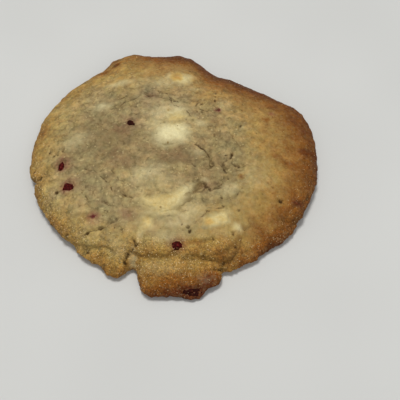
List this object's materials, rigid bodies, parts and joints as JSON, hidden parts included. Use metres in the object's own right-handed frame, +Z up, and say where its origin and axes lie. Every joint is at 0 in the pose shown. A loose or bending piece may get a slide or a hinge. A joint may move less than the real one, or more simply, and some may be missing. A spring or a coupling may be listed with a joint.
{
  "type": "soft-baked cookie",
  "caption": "Round soft-baked cookie with a browned rim, a thin tongue of spread dough at the front, and white chocolate and berry pieces set in its top.",
  "frame": {"origin": "middle of the cookie's bounding box, on its flat underside", "axes": "+Z up out of the cookie's top, -Y towards the tongue of spread dough at the front, +X to the right seen from the front"},
  "size_m": [0.1011, 0.1059, 0.0145],
  "materials": {
    "dough": "baked cookie dough: matte, pale in the middle, golden to brown at the rim, slightly sugary",
    "white_chocolate": "baked white chocolate: creamy, waxy, toasted at its edges",
    "berry": "baked freeze-dried red berry: dark wine red, a little glossy"
  },
  "bodies": {
    "root": {"dough": "dough", "white_chocolate_1": "white_chocolate", "white_chocolate_2": "white_chocolate", "white_chocolate_3": "white_chocolate", "white_chocolate_4": "white_chocolate", "white_chocolate_5": "white_chocolate", "berry_piece_1": "berry", "berry_piece_2": "berry", "berry_piece_3": "berry", "berry_piece_4": "berry", "berry_piece_5": "berry"}
  },
  "joints": []
}
